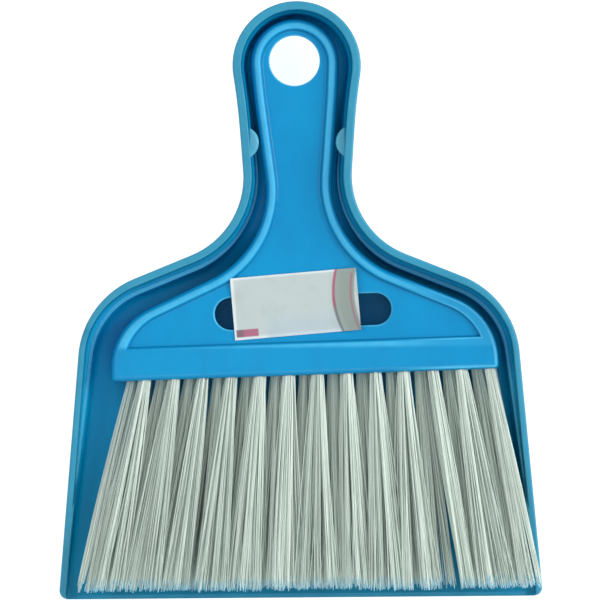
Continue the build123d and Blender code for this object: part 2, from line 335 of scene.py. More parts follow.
@dataclass(frozen=True)
class BluePlastic(Finish):
    """Glossy blue polypropylene, a little streaky, paler where hands and dust have rubbed it and
    where highlights and sheen are painted on its edges, with painted shade along some lines.

    Attributes:
        moulding: The moulding that it covers.
        base: The colour of a clean flat.
        deep: The colour of its darker streaks.
        pale: The colour of worn edges and of the painted highlights and sheen on them.
        crease: The darker colour of its lines of painted shade.
        clouds: Its broad, faint clouds.
        flow: The streaks of the moulding's flow.
        specks: Its few pale specks.
        pale_patches: How unevenly its edges are worn and highlit pale.
        least_pale: The paleness of its edges where it is weakest, as a share.
        grain: Its fine grain.
        scratches: Its scratches.
        ripple: The slow ripple of its flats.
        relief: The height that a relief of 1 stands for, in metres.
        roughness: The roughness of a clean flat.
        worn_and_highlit_rough: How much the worn and highlit edges add to it.
        refraction: Its index of refraction.
        gloss: The shader's specular level.
    """

    moulding: str
    base: Colour
    deep: Colour
    pale: Colour
    crease: Colour = srgb(4, 88, 122)
    clouds: Noise = Noise(38 * MM, 3, span=(0.35, 0.7), paint=0.35)
    flow: Noise = Noise(9 * MM, 3, (1, 0.35, 1), (0.35, 0.75), paint=0.25, rough=0.1)
    specks: Noise = Noise(1.6 * MM, span=(0.66, 0.76), paint=0.07)
    pale_patches: Noise = Noise(6 * MM, 3, paint=0.7)
    least_pale: float = 0.6
    grain: Noise = Noise(0.7 * MM, relief=0.1)
    scratches: Noise = Noise(1.1 * MM, 2, (1, 0.06, 1), (0.62, 0.72), rough=0.12, relief=-0.2)
    ripple: Noise = Noise(14 * MM, relief=1.2)
    relief: float = 0.12 * MM
    roughness: float = 0.3
    worn_and_highlit_rough: float = 0.2
    refraction: float = 1.49
    gloss: float = 0.28

    def bounce_lit(self, bench: MaterialBench, colour: Signal) -> Signal:
        """Paint bounce light into the streaked colour, as a brighter blue, where a moulding has
        it.
        """
        return colour

    def creased(self, bench: MaterialBench) -> Signal:
        """Mark the lines where shade is painted, from 0 to 1."""
        raise NotImplementedError

    def worn_and_highlit(self, bench: MaterialBench) -> Signal:
        """Mark the edges that are worn pale and carry painted highlights, from 0 to 1."""
        raise NotImplementedError

    def material(self) -> bpy.types.Material:
        """Make the material."""
        bench = MaterialBench(f"blue_plastic_{self.moulding}")
        flow, scratches = bench.noise(self.flow), bench.noise(self.scratches)
        pale_patches = self.least_pale + self.pale_patches.paint * bench.noise(self.pale_patches)
        # The pale mark: partly wear, partly painted highlight and sheen on the edges.
        worn_and_highlit = self.worn_and_highlit(bench) * pale_patches
        streaks = bench.noise(self.clouds) * self.clouds.paint + flow * self.flow.paint
        # Painted bounce light, as a brighter blue where a moulding has it.
        colour = self.bounce_lit(bench, bench.mix(streaks, self.base, self.deep))
        # Painted shade along the lines that each moulding marks.
        colour = bench.mix(self.creased(bench), colour, self.crease)
        colour = bench.mix(bench.noise(self.specks) * self.specks.paint, colour, self.pale)
        relief = bench.noise(self.grain) * self.grain.relief
        relief = relief + bench.noise(self.ripple) * self.ripple.relief
        relief = relief + scratches * self.scratches.relief
        roughness = self.roughness + flow * self.flow.rough + scratches * self.scratches.rough
        return bench.finish({
            "Base Color": bench.mix(worn_and_highlit, colour, self.pale),
            "Roughness": roughness + worn_and_highlit * self.worn_and_highlit_rough,
            "IOR": self.refraction,
            "Specular IOR Level": self.gloss,
            "Normal": bench.bump(relief, self.relief),
        })


@dataclass(frozen=True)
class PanPlastic(BluePlastic):
    """The dustpan's plastic. Its depths are measured down from the rim line, in metres.

    Attributes:
        painted_bounce: The brighter blue painted low in the pan, as the light that bounces inside
            it.
        painted_bounce_depth: The depths at which that blue starts and is full.
        painted_bounce_share: Its strength.
        shade_line_depth: The depths of the painted shade line under the rim.
        shade_line_share: That line's strength.
        rim_depth: The depths at which the rim's pale wear and painted sheen end and are full.
        rim_share: Their strength.
        front_height: The rim line's height over the pan's front, in metres.
        slope_y: Where along the pan the rim line becomes level, in metres.
        nub_x: How far from the middle the centres of the grip nubs are, in metres.
        nub_y: How far up the pan they are, in metres.
        nub_radius: Their radius, in metres.
        nub_edge: How soft the edge of their pale wear and painted highlight is, in metres.
        nub_side: How far from the middle that paleness ends and is full, in metres.
        nub_height: The heights at which it starts and is full, in metres.
        nub_share: Its strength.
        ledge_height: The heights of the ledge's painted highlight line, in metres.
        ledge_up: How far up the ledge has to face for that line to start and to be full.
        ledge_depth: The depths at which the line starts and is full.
        ledge_share: Its strength.
    """

    moulding: str = "pan"
    base: Colour = srgb(8, 137, 174)
    deep: Colour = srgb(4, 117, 154)
    pale: Colour = srgb(104, 188, 214)
    # Painted bounce light: the brighter blue low in the pan.
    painted_bounce: Colour = srgb(6, 178, 230)
    painted_bounce_depth: Span = (3 * MM, 9 * MM)
    painted_bounce_share: float = 0.85
    shade_line_depth: Band = ((0.5 * MM, 1.0 * MM), (1.6 * MM, 3.2 * MM))
    shade_line_share: float = 0.6
    rim_depth: Span = (0.9 * MM, 0.1 * MM)
    rim_share: float = 0.3
    front_height: float = 5 * MM
    slope_y: float = -12 * MM
    nub_x: float = 22.85 * MM
    nub_y: float = 66.2 * MM
    nub_radius: float = 6.8 * MM
    nub_edge: float = 0.3 * MM
    nub_side: Span = (19.9 * MM, 19.5 * MM)
    nub_height: Span = (19 * MM, 24 * MM)
    nub_share: float = 0.85
    ledge_height: Band = ((12 * MM, 12.3 * MM), (12.6 * MM, 12.9 * MM))
    ledge_up: Span = (0.5, 0.8)
    ledge_depth: Span = (2 * MM, 4 * MM)
    ledge_share: float = 0.6

    def below_rim(self, bench: MaterialBench) -> Signal:
        """Measure how far a point lies under the rim line, which slopes down to the front.

        Args:
            bench: The material that is being made.

        Returns:
            The depth, in metres.
        """
        low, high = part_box("dustpan")
        slope = (high.z - self.front_height) / (self.slope_y - low.y)
        line = (bench.y - low.y) * slope + self.front_height
        return line.math("MINIMUM", high.z) - bench.z

    def bounce_lit(self, bench: MaterialBench, colour: Signal) -> Signal:
        """Paint bounce light low in the pan, as a brighter blue in the streaked colour."""
        painted_bounce = self.below_rim(bench).between(*self.painted_bounce_depth) * self.painted_bounce_share
        return bench.mix(painted_bounce, colour, self.painted_bounce)

    def creased(self, bench: MaterialBench) -> Signal:
        """Mark the line under the rim where shade is painted, from 0 to 1."""
        return self.below_rim(bench).within(*self.shade_line_depth) * self.shade_line_share

    def worn_and_highlit(self, bench: MaterialBench) -> Signal:
        """Mark the rim and the grip nubs, worn pale and with painted highlights, and the ledge's
        painted highlight.

        Args:
            bench: The material that is being made.

        Returns:
            The mask, from 0 to 1.
        """
        depth = self.below_rim(bench)
        # The rim and the nubs: pale wear with painted sheen and highlights.
        rim = depth.between(*self.rim_depth)
        side, along = abs(bench.x) - self.nub_x, bench.y - self.nub_y
        reach = (side * side + along * along).math("SQRT")
        nubs = reach.between(self.nub_radius + self.nub_edge, self.nub_radius)
        nubs = nubs * abs(bench.x).between(*self.nub_side) * bench.z.between(*self.nub_height)
        # The ledge: a painted highlight line.
        ledge = bench.z.within(*self.ledge_height) * bench.up.between(*self.ledge_up)
        ledge = ledge * depth.between(*self.ledge_depth)
        return rim * self.rim_share | nubs * self.nub_share | ledge * self.ledge_share


@dataclass(frozen=True)
class BroomPlastic(BluePlastic):
    """The broom moulding's plastic. Its heights are in metres.

    Attributes:
        panel_depth: How deep the panel is sunk, in metres.
        shade_line_height: The heights of the painted shade line along the panel's foot, over the
            panel.
        shade_line_share: That line's strength.
        bead_height: The heights at which the bead's pale wear and painted highlight start and are
            full, over its top.
        bead_foot: Where the bead starts over the block's lower edge, in metres.
        bead_share: The strength that the bead's wear and painted highlight add to that of the
            flats.
        flat_share: The strength of the flats' paleness.
        spared: Where along X the bead's right end begins to be spared and is spared, in metres.
        spared_share: How much it is spared.
        ring_height: The heights of the painted highlight ring of the slot and the hole, over the
            panel.
        ring_up: How far up that ring faces.
        ring_share: Its strength.
        edge_height: The heights at which the painted glint along the edge at the right starts,
            over the top.
        edge_up: How far up that edge faces.
        edge_share: Its strength.
    """

    moulding: str = "broom"
    base: Colour = srgb(6, 152, 208)
    deep: Colour = srgb(3, 132, 190)
    pale: Colour = srgb(96, 214, 255)
    panel_depth: float = 2.2 * MM
    shade_line_height: Band = ((0.05 * MM, 0.2 * MM), (0.5 * MM, 0.9 * MM))
    shade_line_share: float = 0.5
    bead_height: Span = (-0.6 * MM, -0.05 * MM)
    bead_foot: Span = (13 * MM, 15 * MM)
    bead_share: float = 0.47
    flat_share: float = 0.03
    spared: Span = (34 * MM, 66 * MM)
    spared_share: float = 0.7
    ring_height: Band = ((-0.8 * MM, -0.6 * MM), (-0.1 * MM, 0.0))
    ring_up: Band = ((0.5, 0.62), (0.78, 0.88))
    ring_share: float = 0.6
    edge_height: Span = (-1.1 * MM, -0.7 * MM)
    edge_up: Band = ((0.3, 0.6), (0.85, 0.97))
    edge_share: float = 0.7

    def creased(self, bench: MaterialBench) -> Signal:
        """Mark the line along the panel's foot where shade is painted, from 0 to 1."""
        over_panel = bench.z - (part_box("broom_handle")[1].z - self.panel_depth)
        return over_panel.within(*self.shade_line_height) * self.shade_line_share

    def worn_and_highlit(self, bench: MaterialBench) -> Signal:
        """Mark the bead, worn pale and with a painted highlight, and the painted highlights on
        the edges of the slot, the hole and the block.

        Args:
            bench: The material that is being made.

        Returns:
            The mask, from 0 to 1.
        """
        low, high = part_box("broom_handle")
        over_top = bench.z - high.z
        over_panel = over_top + self.panel_depth
        bead = (bench.y - low.y).between(*self.bead_foot)
        spared = bench.x.between(*self.spared)
        # The bead: pale wear with a painted highlight.
        ridge = over_top.between(*self.bead_height) * (self.flat_share + self.bead_share * bead)
        ridge = ridge * (1 - self.spared_share * spared)
        # Painted highlights: the ring round the slot and the hole, and the glint along the
        # right-hand edge.
        ring = over_panel.within(*self.ring_height) * bench.up.within(*self.ring_up)
        edge = over_top.between(*self.edge_height) * bench.up.within(*self.edge_up) * spared
        return ridge | ring * self.ring_share | edge * self.edge_share


@dataclass(frozen=True)
class BristleFilament(Finish):
    """Grey-green drawn filament, each strand in its own shade and frayed paler at its tip.

    Attributes:
        dark: The darkest strands.
        middle: Most strands.
        light: The lightest strands.
        tip: What all the strands fade to at their tips.
        middle_tone: The tone at which a strand has the middle colour, from 0 to 1.
        frayed: Where along a strand its frayed tip starts and is full, from 0 to 1.
        frayed_share: The strength of the frayed tip's colour.
        streak: The streaks along the strands.
        roughness: The least roughness.
        refraction: Its index of refraction.
    """

    dark: Colour = srgb(186, 199, 190)
    middle: Colour = srgb(218, 231, 220)
    light: Colour = srgb(240, 248, 240)
    tip: Colour = srgb(138, 204, 228)
    middle_tone: float = 0.45
    frayed: Span = (0.972, 1.0)
    frayed_share: float = 0.8
    streak: Noise = Noise(2.2 * MM, 2, (1, 0.1, 1), (0.3, 0.75), paint=0.2, rough=0.2)
    roughness: float = 0.42
    refraction: float = 1.5

    def material(self) -> bpy.types.Material:
        """Make the material."""
        bench = MaterialBench("bristle_filament")
        tone = bench.add("ShaderNodeAttribute", {"attribute_name": Tuft.TONE}, output="Fac")
        along = bench.add("ShaderNodeAttribute", {"attribute_name": Tuft.ALONG}, output="Fac")
        stops = [(0.0, self.dark), (self.middle_tone, self.middle), (1.0, self.light)]
        colour = bench.add("ShaderNodeValToRGB", {"stops": stops}, {"Fac": tone}, output="Color")
        streak = bench.noise(self.streak)
        colour = bench.mix(streak * self.streak.paint, colour, self.dark)
        colour = bench.mix(along.between(*self.frayed) * self.frayed_share, colour, self.tip)
        return bench.finish({
            "Base Color": colour,
            "Roughness": self.roughness + streak * self.streak.rough,
            "IOR": self.refraction,
        })


@dataclass(frozen=True)
class CoatedPaper(Finish):
    """Bare off-white label paper with plain colour bands and a greyed, lifted end.

    Places are shares of the label's width or height, from its lower left corner, and those
    past the crease are shares of its width. A span whose end is the smaller number falls.

    Attributes:
        paper: The clean paper.
        edge: The paper along its cut edges, where no tint lies.
        grey: The grey paper past the crease, where it lifts.
        shade: The colour in the crease.
        band: The colour of the plain bands.
        deep_band: The darker end of the corner block.
        tinge: The faint tint of its lower half.
        tint_across: Where the paper's tint starts at the left.
        tint_up: Where it starts and ends, from below.
        tinge_across: Where the lower half's tint starts at the left.
        tinge_up: Where it fades, from below.
        tinge_share: Its strength.
        dull: Where the paper turns grey, past the crease.
        dull_share: How grey it turns.
        bare: Where it is pale again at its far end, past the crease.
        bare_share: How pale it is there.
        fold: The line along the crease, past it.
        fold_shaded: Up to where that line is dark.
        fold_share: How dark it is.
        fold_banded: From where on it has the bands' colour.
        stripe: The thin stripe, past the crease.
        stripe_up: Up to where it goes.
        stripe_share: Its strength beside the crease's line.
        band_share: The strength of both.
        block_across: Where the corner block starts and ends, across.
        block_up: Where it starts and ends, from below.
        block_deep: Where it becomes darker, across.
        block_share: Its strength.
        fibre: The paper's fibres.
        dirt: Its dirt.
        relief: The height of its fibres, in metres.
        roughness: Its roughness where it is clean.
    """

    paper: Colour = srgb(196, 208, 206)
    edge: Colour = srgb(228, 236, 238)
    grey: Colour = srgb(146, 158, 150)
    shade: Colour = srgb(70, 74, 84)
    band: Colour = srgb(176, 40, 100)
    deep_band: Colour = srgb(110, 14, 70)
    tinge: Colour = srgb(180, 200, 212)
    tint_across: Span = (0.012, 0.035)
    tint_up: Band = ((0.02, 0.07), (0.95, 0.985))
    tinge_across: Span = (0.2, 0.3)
    tinge_up: Span = (0.5, 0.1)
    tinge_share: float = 0.5
    dull: Span = (-0.005, 0.012)
    dull_share: float = 0.9
    bare: Span = (0.16, 0.175)
    bare_share: float = 0.7
    fold: Band = ((-0.022, -0.006), (0.002, 0.012))
    fold_shaded: Span = (0.66, 0.4)
    fold_share: float = 0.75
    fold_banded: Span = (0.3, 0.5)
    stripe: Band = ((0.125, 0.13), (0.145, 0.15))
    stripe_up: Span = (0.95, 0.9)
    stripe_share: float = 0.5
    band_share: float = 0.85
    block_across: Band = ((0.012, 0.018), (0.185, 0.19))
    block_up: Band = ((0.035, 0.05), (0.155, 0.17))
    block_deep: Span = (0.09, 0.05)
    block_share: float = 0.8
    fibre: Noise = Noise(0.9 * MM, 3, paint=0.08)
    dirt: Noise = Noise(7 * MM, 3, span=(0.45, 0.75), paint=0.16, rough=0.2)
    relief: float = 0.05 * MM
    roughness: float = 0.42

    def creased(self, bench: MaterialBench, colour: Signal, up: Signal, past: Signal) -> Signal:
        """Paint the crease, the thin stripe beside it and the grey end of the paper.

        Args:
            bench: The material that is being made.
            colour: The paper's colour.
            up: How far up the label, from 0 to 1.
            past: How far past the crease.

        Returns:
            The painted colour.
        """
        colour = bench.mix(past.between(*self.dull) * self.dull_share, colour, self.grey)
        colour = bench.mix(past.between(*self.bare) * self.bare_share, colour, self.edge)
        fold = past.within(*self.fold)
        shaded = fold * up.between(*self.fold_shaded) * self.fold_share
        stripe = past.within(*self.stripe) * up.between(*self.stripe_up) * self.stripe_share
        bands = (fold * up.between(*self.fold_banded) | stripe) * self.band_share
        return bench.mix(bands, bench.mix(shaded, colour, self.shade), self.band)

    def material(self) -> bpy.types.Material:
        """Make the material, laid out on the label's own UV map."""
        bench = MaterialBench("coated_paper")
        across, up, _ = bench.split(bench.add("ShaderNodeUVMap", {"uv_map": Label.UV}))
        tint = across.between(*self.tint_across) * up.within(*self.tint_up)
        colour = bench.mix(tint, self.edge, self.paper)
        tinge = up.between(*self.tinge_up) * across.between(*self.tinge_across)
        colour = bench.mix(tinge * self.tinge_share, colour, self.tinge)
        colour = self.creased(bench, colour, up, across - Label.crease(up))
        block = across.within(*self.block_across) * up.within(*self.block_up)
        plain = bench.mix(across.between(*self.block_deep), self.band, self.deep_band)
        colour = bench.mix(block * self.block_share, colour, plain)
        dirt, fibre = bench.noise(self.dirt), bench.noise(self.fibre)
        colour = bench.mix(dirt * self.dirt.paint, colour, self.grey)
        return bench.finish({
            "Base Color": bench.mix(fibre * self.fibre.paint, colour, self.grey),
            "Roughness": self.roughness + dirt * self.dirt.rough,
            "Normal": bench.bump(fibre, self.relief),
        })


@dataclass(frozen=True)
class DrawnSteel(Finish):
    """Bright drawn wire.

    Attributes:
        colour: The wire's colour.
        dull: The colour of its drawing lines.
        lines: Those lines.
        roughness: Its least roughness.
    """

    colour: Colour = (0.6, 0.6, 0.6)
    dull: Colour = (0.4, 0.4, 0.42)
    lines: Noise = Noise(0.6 * MM, stretch=(0.1, 1, 1), paint=0.3, rough=0.2)
    roughness: float = 0.3

    def material(self) -> bpy.types.Material:
        """Make the material."""
        bench = MaterialBench("drawn_steel")
        lines = bench.noise(self.lines)
        return bench.finish({
            "Base Color": bench.mix(lines * self.lines.paint, self.colour, self.dull),
            "Metallic": 1.0,
            "Roughness": self.roughness + lines * self.lines.rough,
        })


@dataclass(frozen=True)
class PaleFloor(Finish):
    """The studio's plain floor.

    Attributes:
        colour: Its colour.
        roughness: Its roughness.
        light: The colour of the light that it gives off.
        glow: The light that it gives off, as if lit from below.
    """

    colour: Colour = (0.36, 0.36, 0.36)
    roughness: float = 0.9
    light: Colour = (1.0, 1.0, 1.0)
    glow: float = 0.88

    def material(self) -> bpy.types.Material:
        """Make the material."""
        return MaterialBench("pale_floor").finish({
            "Base Color": self.colour,
            "Roughness": self.roughness,
            "Emission Color": self.light,
            "Emission Strength": self.glow,
        })


def deselect() -> None:
    """Leave edit mode and select nothing."""
    if bpy.context.object is not None and bpy.context.object.mode != "OBJECT":
        bpy.ops.object.mode_set(mode="OBJECT")
    bpy.ops.object.select_all(action="DESELECT")


def dress(piece: bpy.types.Object, material: bpy.types.Material) -> None:
    """Give a piece one material all over."""
    piece.data.materials.clear()
    piece.data.materials.append(material)


@dataclass
class Bristle:
    """One filament, modelled once along -Y from its root at 0 to its tip at -1.

    Attributes:
        radius: The radius at its root, in metres.
        tip_share: The tip's radius as a share of the root's.
        sides: Its number of sides.
        steps: How many lengths it is extruded in.
    """

    radius: float = 0.29 * MM
    tip_share: float = 0.55
    sides: int = 4
    steps: int = 7

    def model(self) -> tuple[np.ndarray, list[tuple[int, ...]]]:
        """Extrude the filament from a small disc, and take its mesh.

        Returns:
            Its points, with Y from 0 to -1, and its faces.
        """
        deselect()
        bpy.ops.mesh.primitive_circle_add(
            vertices=self.sides, radius=self.radius, fill_type="NGON",
            rotation=(math.pi / 2, 0, 0),
        )
        piece = bpy.context.object
        bpy.ops.object.transform_apply(location=False, rotation=True, scale=True)
        bpy.ops.object.mode_set(mode="EDIT")
        taper = self.tip_share ** (1 / self.steps)
        step = {"value": (0, -1 / self.steps, 0)}
        for _ in range(self.steps):
            bpy.ops.mesh.extrude_region_move(TRANSFORM_OT_translate=step)
            bpy.ops.transform.resize(value=(taper, 1, taper))
        bpy.ops.mesh.select_all(action="SELECT")
        bpy.ops.mesh.normals_make_consistent(inside=False)
        bpy.ops.object.mode_set(mode="OBJECT")
        points = np.array([vertex.co for vertex in piece.data.vertices])
        faces = [tuple(face.vertices) for face in piece.data.polygons]
        bpy.data.objects.remove(piece)
        return points, faces


@dataclass(frozen=True)
class Lock:
    """A few filaments of a tuft that cling together.

    Attributes:
        x: Where it is across the tuft, from -1 to 1.
        z: Where it is up the tuft, from -1 to 1.
        tone: Its shade, from 0 to 1.
    """

    x: float
    z: float
    tone: float


@dataclass
class Tuft:
    """A bundle of filaments that leaves its hole round and fans out in a few loose locks.

    Attributes:
        node: The CAD tuft that it stands for.
        chance: Where its random draws come from.
        lift: How far its tips lie over the CAD tuft's, in metres.
        right_edge: Where the fan of tips ends on the right, in metres.
        strands: How many filaments it has.
        locks: How many locks they gather in.
        root_radius: The bundle's radius in its hole, in metres.
        sunk: How far inside the hole the filaments start, in metres.
        hole_depth: How deep the CAD tuft's plug goes, in metres.
        plug_slice: The length of the CAD tuft's plug that gives its middle, in metres.
        tip_slice: The length of its tips that gives theirs, in metres.
        spread: Half the fanned bundle's width and height at its tips, in metres.
        lock_share: How strongly a filament keeps to its lock, from 0 to 1.
        lock_loose: How far a filament's tip strays aside from its lock, in metres.
        tip_loose: How far it strays up or down, in metres.
        lock_tone: How much of a filament's shade is its lock's, from 0 to 1.
        ragged: How much longer and shorter than the CAD tuft its filaments get, in metres.
        bow: How far a filament bows aside and up, in metres.
        parting: Where the parting in the bristles starts and ends along X, and half its width.
        left_edge: Where the fan of tips ends on the left, in metres.
        left_give: The share of its reach by which a tip may pass that edge.
        floor: How low a tip may lie, in metres.
    """

    node: str
    chance: random.Random
    lift: float
    right_edge: float
    strands: int = 100
    locks: int = 11
    root_radius: float = 2.35 * MM
    sunk: float = 1.5 * MM
    hole_depth: float = 12.88 * MM
    plug_slice: float = 1.2 * MM
    tip_slice: float = 5 * MM
    spread: Span = (8.4 * MM, 4.6 * MM)
    lock_share: float = 0.64
    lock_loose: float = 0.9 * MM
    tip_loose: float = 0.5 * MM
    lock_tone: float = 0.55
    ragged: Span = (-0.91 * MM, 3.9 * MM)
    bow: Span = (0.5 * MM, 0.15 * MM)
    parting: Triple = (54.4 * MM, 66.3 * MM, 1.3 * MM)
    left_edge: float = -92.6 * MM
    left_give: float = 0.2
    floor: float = 2.7 * MM

    TONE = "strand_tone"
    ALONG = "strand_along"

    def ends(self) -> tuple[Vector, Vector]:
        """Find where the CAD tuft leaves its hole and where the middle of its tips is.

        Returns:
            The two points, in the row frame.
        """
        points = np.array([vertex.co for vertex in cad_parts[self.node].data.vertices])
        low, high = points[:, 1].min(), points[:, 1].max()
        back = Vector(points[points[:, 1] > high - self.plug_slice].mean(axis=0))
        tips = Vector(points[points[:, 1] < low + self.tip_slice].mean(axis=0))
        return back + (tips - back).normalized() * self.hole_depth, tips

    def disc(self) -> tuple[float, float]:
        """Draw a point in a round of radius 1."""
        angle = self.chance.uniform(0, 2 * math.pi)
        reach = math.sqrt(self.chance.random())
        return reach * math.cos(angle), reach * math.sin(angle)

    def clear_of_parting(self, root_x: float, tip_x: float) -> float:
        """Keep a filament's tip on its own side of the parting.

        Args:
            root_x: Where its tuft starts, in metres.
            tip_x: Where its tip would end, in metres.

        Returns:
            Where its tip ends.
        """
        start, end, gap = self.parting
        if root_x < start:
            return min(tip_x, end - gap)
        return max(tip_x, end + gap)

    def strand(self, root: Vector, tip: Vector,
               locks: list[Lock]) -> tuple[Vector, Vector, Vector, float]:
        """Draw the course of one filament.

        Args:
            root: Where the tuft leaves its hole.
            tip: Where the middle of the CAD tuft's tips is.
            locks: The tuft's locks.

        Returns:
            The filament's start, its end, how far it bows, and its shade.
        """
        x, z = self.disc()
        lock = min(locks, key=lambda one: (one.x - x) ** 2 + (one.z - z) ** 2)
        start = root + Vector((x * self.root_radius, self.sunk, z * self.root_radius))
        aim_x = (1 - self.lock_share) * x + self.lock_share * lock.x
        aim_z = (1 - self.lock_share) * z + self.lock_share * lock.z
        end = tip + Vector((
            aim_x * self.spread[0] + self.chance.gauss(0, self.lock_loose),
            self.chance.uniform(*self.ragged),
            self.lift + aim_z * self.spread[1]
            + self.chance.uniform(-self.tip_loose, self.tip_loose),
        ))
        bow = Vector((self.chance.gauss(0, self.bow[0]), 0, self.chance.gauss(0, self.bow[1])))
        end.x = self.clear_of_parting(root.x, min(end.x, self.right_edge))
        end.x = max(end.x, self.left_edge + self.left_give * (end.x - self.left_edge))
        end.z = max(end.z, self.floor)
        tone = self.lock_tone * lock.tone + (1 - self.lock_tone) * self.chance.random()
        return start, end, bow, tone

    def build(self, bristle: tuple[np.ndarray, list[tuple[int, ...]]]) -> bpy.types.Object:
        """Gather bent copies of one filament into the tuft.

        Args:
            bristle: The filament's points and faces.

        Returns:
            The tuft as one piece.
        """
        points, faces = bristle
        along = -points[:, 1:2]
        bend = 4 * along * (1 - along)
        section = points * np.array([1, 0, 1])
        root, tip = self.ends()
        locks = [Lock(*self.disc(), self.chance.uniform(0, 1)) for _ in range(self.locks)]
        places, tones = [], []
        for _ in range(self.strands):
            start, end, bow, tone = self.strand(root, tip, locks)
            line = np.array(start) + along * np.array(end - start) + bend * np.array(bow)
            places.append(line + section)
            tones += [tone] * len(points)
        copies = [
            tuple(corner + i * len(points) for corner in face)
            for i in range(self.strands) for face in faces
        ]
        mesh = bpy.data.meshes.new(self.node)
        mesh.from_pydata(np.concatenate(places).tolist(), [], copies)
        lengths = np.tile(along[:, 0], self.strands)
        for name, values in ((self.TONE, tones), (self.ALONG, lengths)):
            attribute = mesh.attributes.new(name, "FLOAT", "POINT")
            attribute.data.foreach_set("value", np.array(values, dtype=np.float32))
        piece = bpy.data.objects.new(self.node.replace("tuft", "bristles"), mesh)
        bpy.context.scene.collection.objects.link(piece)
        return piece


class Row(Enum):
    """The rows of tufts, as their nodes are named."""

    UPPER = "upper"
    MIDDLE = "middle"
    LOWER = "lower"


@dataclass
class Brush:
    """All the tufts of the broom.

    Attributes:
        seed: What the random draws start from.
        lifts: How far each row's tips lie over the CAD ones, because the rows mingle.
        margin: How far inside the object's right-hand side the tips end, in metres.
        finish: The filaments' finish.
    """

    seed: int = 11
    lifts: dict[Row, float] = field(default_factory=lambda: {
        Row.UPPER: -0.9 * MM, Row.MIDDLE: 2.8 * MM, Row.LOWER: 0.6 * MM,
    })
    margin: float = 1 * MM
    finish: BristleFilament = field(default_factory=BristleFilament)

    def build(self) -> list[bpy.types.Object]:
        """Replace every CAD tuft by a fuller one that rides on the broom."""
        material = self.finish.material()
        bristle = Bristle().model()
        right_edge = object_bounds()[1].x - self.margin
        pieces = []
        for node in sorted(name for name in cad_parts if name.startswith("tuft_")):
            chance = random.Random(f"{self.seed} {node}")
            lift = self.lifts[Row(node.split("_")[1])]
            piece = Tuft(node, chance, lift, right_edge).build(bristle)
            dress(piece, material)
            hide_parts(node)
            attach(piece, BROOM_BODY)
            pieces.append(piece)
        return pieces


@dataclass
class Label:
    """The paper label over the slot, flat at its left and curling up at its right-hand end.

    Attributes:
        width: Its width, in metres.
        height: Its height, in metres.
        thickness: The paper's thickness, in metres.
        overhang: How much longer than the CAD label its lifted end is, in metres.
        turn: Its turn on the pan's axes, in degrees.
        steps: How many squares it is divided in each way.
        curl: How high its right-hand end curls up, in metres.
        curl_power: How late that end starts to curl.
        pull: How far the curl draws the end in, in metres.
        ridge: The height of the paper's ridge along the crease, in metres.
        ridge_width: That ridge's width, as a share of the label's.
        corner_lift: How high its upper left corner lies on the bead, in metres.
        corner_power: How late that corner starts to rise.
        corner_size: The corner's width and height, as shares of the label's.
        wave: Half the height of its slow wave, in metres.
        wave_turns: How far that wave turns across and up the label, in radians.
        smooth: The angle up to which its faces are smoothed, in degrees.
        finish: The paper's finish.
    """

    width: float = 53.4 * MM
    height: float = 26 * MM
    thickness: float = 0.25 * MM
    overhang: float = 1.4 * MM
    turn: float = 4.5
    steps: tuple[int, int] = (52, 26)
    curl: float = 2.2 * MM
    curl_power: float = 1.5
    pull: float = 0.6 * MM
    ridge: float = 0.35 * MM
    ridge_width: float = 0.02
    corner_lift: float = 1.2 * MM
    corner_power: float = 1.3
    corner_size: Span = (0.16, 0.3)
    wave: float = 0.12 * MM
    wave_turns: Span = (9, 2)
    smooth: float = 40
    finish: CoatedPaper = field(default_factory=CoatedPaper)

    UV = "label_uv"
    CREASE_PLACE = 0.8
    CREASE_BOW = 0.18
    CREASE_MIDDLE = 0.55

    @classmethod
    def crease(cls, up: "Signal | float") -> "Signal | float":
        """Find how far across the label its crease is, from how far up, both from 0 to 1."""
        middle = up - cls.CREASE_MIDDLE
        return middle * middle * cls.CREASE_BOW + cls.CREASE_PLACE

    def shaped(self, across: float, up: float) -> Vector:
        """Find where a point of the flat paper comes to lie.

        Args:
            across: How far across the label, from 0 to 1.
            up: How far up it, from 0 to 1.

        Returns:
            The point, from the middle of the label's underside.
        """
        crease = self.crease(up)
        past = max(0.0, across - crease) / (1 - crease)
        lift = self.curl * past ** self.curl_power
        lift += self.ridge * math.exp(-((across - crease) / self.ridge_width) ** 2)
        corner = max(0.0, 1 - across / self.corner_size[0] - (1 - up) / self.corner_size[1])
        lift += self.corner_lift * corner ** self.corner_power
        turn = across * self.wave_turns[0] + (up - 0.5) * self.wave_turns[1]
        lift += self.wave * (1 + math.sin(turn))
        x = (across - 0.5) * self.width - self.pull * past ** 2
        return Vector((x, (up - 0.5) * self.height, lift))

    def build(self) -> bpy.types.Object:
        """Model the paper from a grid, curl and crease it, and give it its thickness."""
        deselect()
        bpy.ops.mesh.primitive_grid_add(
            x_subdivisions=self.steps[0], y_subdivisions=self.steps[1], size=1, calc_uvs=True,
        )
        piece = bpy.context.object
        piece.name = "label_paper"
        piece.data.uv_layers[0].name = self.UV
        for vertex in piece.data.vertices:
            vertex.co = self.shaped(vertex.co.x + 0.5, vertex.co.y + 0.5)
        solid = piece.modifiers.new("paper", "SOLIDIFY")
        solid.thickness = self.thickness
        solid.offset = 1
        bpy.ops.object.modifier_apply(modifier=solid.name)
        low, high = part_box("label")
        middle = Vector(((low.x + high.x + self.overhang) / 2, (low.y + high.y) / 2, low.z))
        turn = Matrix.Rotation(math.radians(self.turn), 4, "Z")
        piece.data.transform(Matrix.Translation(middle) @ turn)
        bpy.ops.object.shade_smooth_by_angle(angle=math.radians(self.smooth))
        dress(piece, self.finish.material())
        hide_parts("label")
        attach(piece, BROOM_BODY)
        return piece


